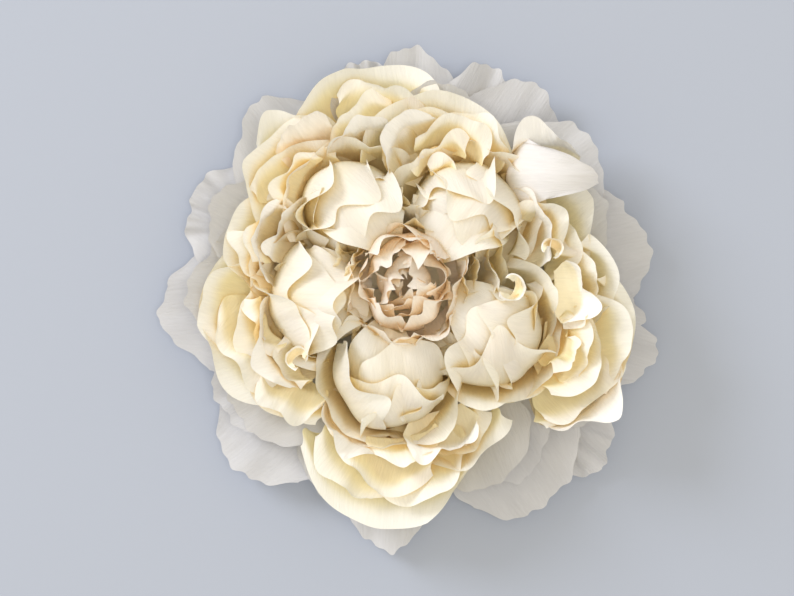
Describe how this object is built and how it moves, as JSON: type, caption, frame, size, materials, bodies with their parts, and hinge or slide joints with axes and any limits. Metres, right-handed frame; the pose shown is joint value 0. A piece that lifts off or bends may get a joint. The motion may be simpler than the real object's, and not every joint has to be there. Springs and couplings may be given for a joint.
{
  "type": "giant paper flower",
  "caption": "Giant crepe-paper peony head lying on its back: frilled heart, folded inner balls, nested cups and wide outer petals glued to a flat card disc.",
  "frame": {"origin": "centre of the flat back face of the backing disc", "axes": "+Z out of the bloom, away from the disc; +Y from the origin towards the back cup; +X to the right, seen from the front of the bloom"},
  "size_m": [0.3199, 0.3209, 0.0887],
  "materials": {
    "ivory_crepe": "matte crepe paper with a fine lengthwise crinkle",
    "cream_crepe": "matte crepe paper, warm cream towards the foot",
    "blush_crepe": "matte crepe paper with frilled edges",
    "outer_crepe": "matte crepe paper with stretched, wavy edges",
    "rolled_paper": "matte rolled paper",
    "backing_card": "matte heavy card"
  },
  "bodies": {
    "root": {"backing_disc": "backing_card", "heart_petal_1": "blush_crepe", "heart_petal_2": "blush_crepe", "heart_petal_3": "blush_crepe", "heart_petal_4": "blush_crepe", "heart_petal_5": "blush_crepe", "heart_petal_6": "blush_crepe", "heart_petal_7": "blush_crepe", "ball_back_left_petal_1": "ivory_crepe", "ball_back_left_petal_2": "ivory_crepe", "ball_back_left_petal_3": "ivory_crepe", "ball_back_left_petal_4": "ivory_crepe", "ball_back_right_petal_1": "ivory_crepe", "ball_back_right_petal_2": "ivory_crepe", "ball_back_right_petal_3": "ivory_crepe", "ball_back_right_petal_4": "ivory_crepe", "ball_left_petal_1": "ivory_crepe", "ball_left_petal_2": "ivory_crepe", "ball_left_petal_3": "ivory_crepe", "ball_left_petal_4": "ivory_crepe", "ball_front_petal_1": "ivory_crepe", "ball_front_petal_2": "ivory_crepe", "ball_front_petal_3": "ivory_crepe", "ball_front_petal_4": "ivory_crepe", "ball_front_right_petal_1": "ivory_crepe", "ball_front_right_petal_2": "ivory_crepe", "ball_front_right_petal_3": "ivory_crepe", "ball_front_right_petal_4": "ivory_crepe", "cup_back": "cream_crepe", "cup_back_left": "cream_crepe", "cup_left_crowned": "cream_crepe", "cup_left": "cream_crepe", "cup_left_wide": "cream_crepe", "cup_front_left": "cream_crepe", "cup_front": "cream_crepe", "cup_front_small": "cream_crepe", "cup_right_wide": "cream_crepe", "cup_right": "cream_crepe", "cup_back_right": "cream_crepe", "petal_arched": "ivory_crepe", "petal_upper_back_right": "ivory_crepe", "petal_upper_right_folded": "ivory_crepe", "petal_upper_front_right": "ivory_crepe", "petal_upper_right_cupped": "ivory_crepe", "petal_upper_front_left": "ivory_crepe", "petal_upper_left": "ivory_crepe", "guard_back": "outer_crepe", "guard_back_pleated": "outer_crepe", "guard_back_wavy": "outer_crepe", "guard_back_right": "outer_crepe", "guard_right": "outer_crepe", "guard_right_low": "outer_crepe", "guard_front_right_fringed": "outer_crepe", "guard_front_right": "outer_crepe", "guard_front": "outer_crepe", "guard_front_left": "outer_crepe", "guard_left": "outer_crepe", "guard_back_left_ruffled": "outer_crepe", "guard_back_left": "outer_crepe", "heart_plug": "rolled_paper"}
  },
  "joints": []
}
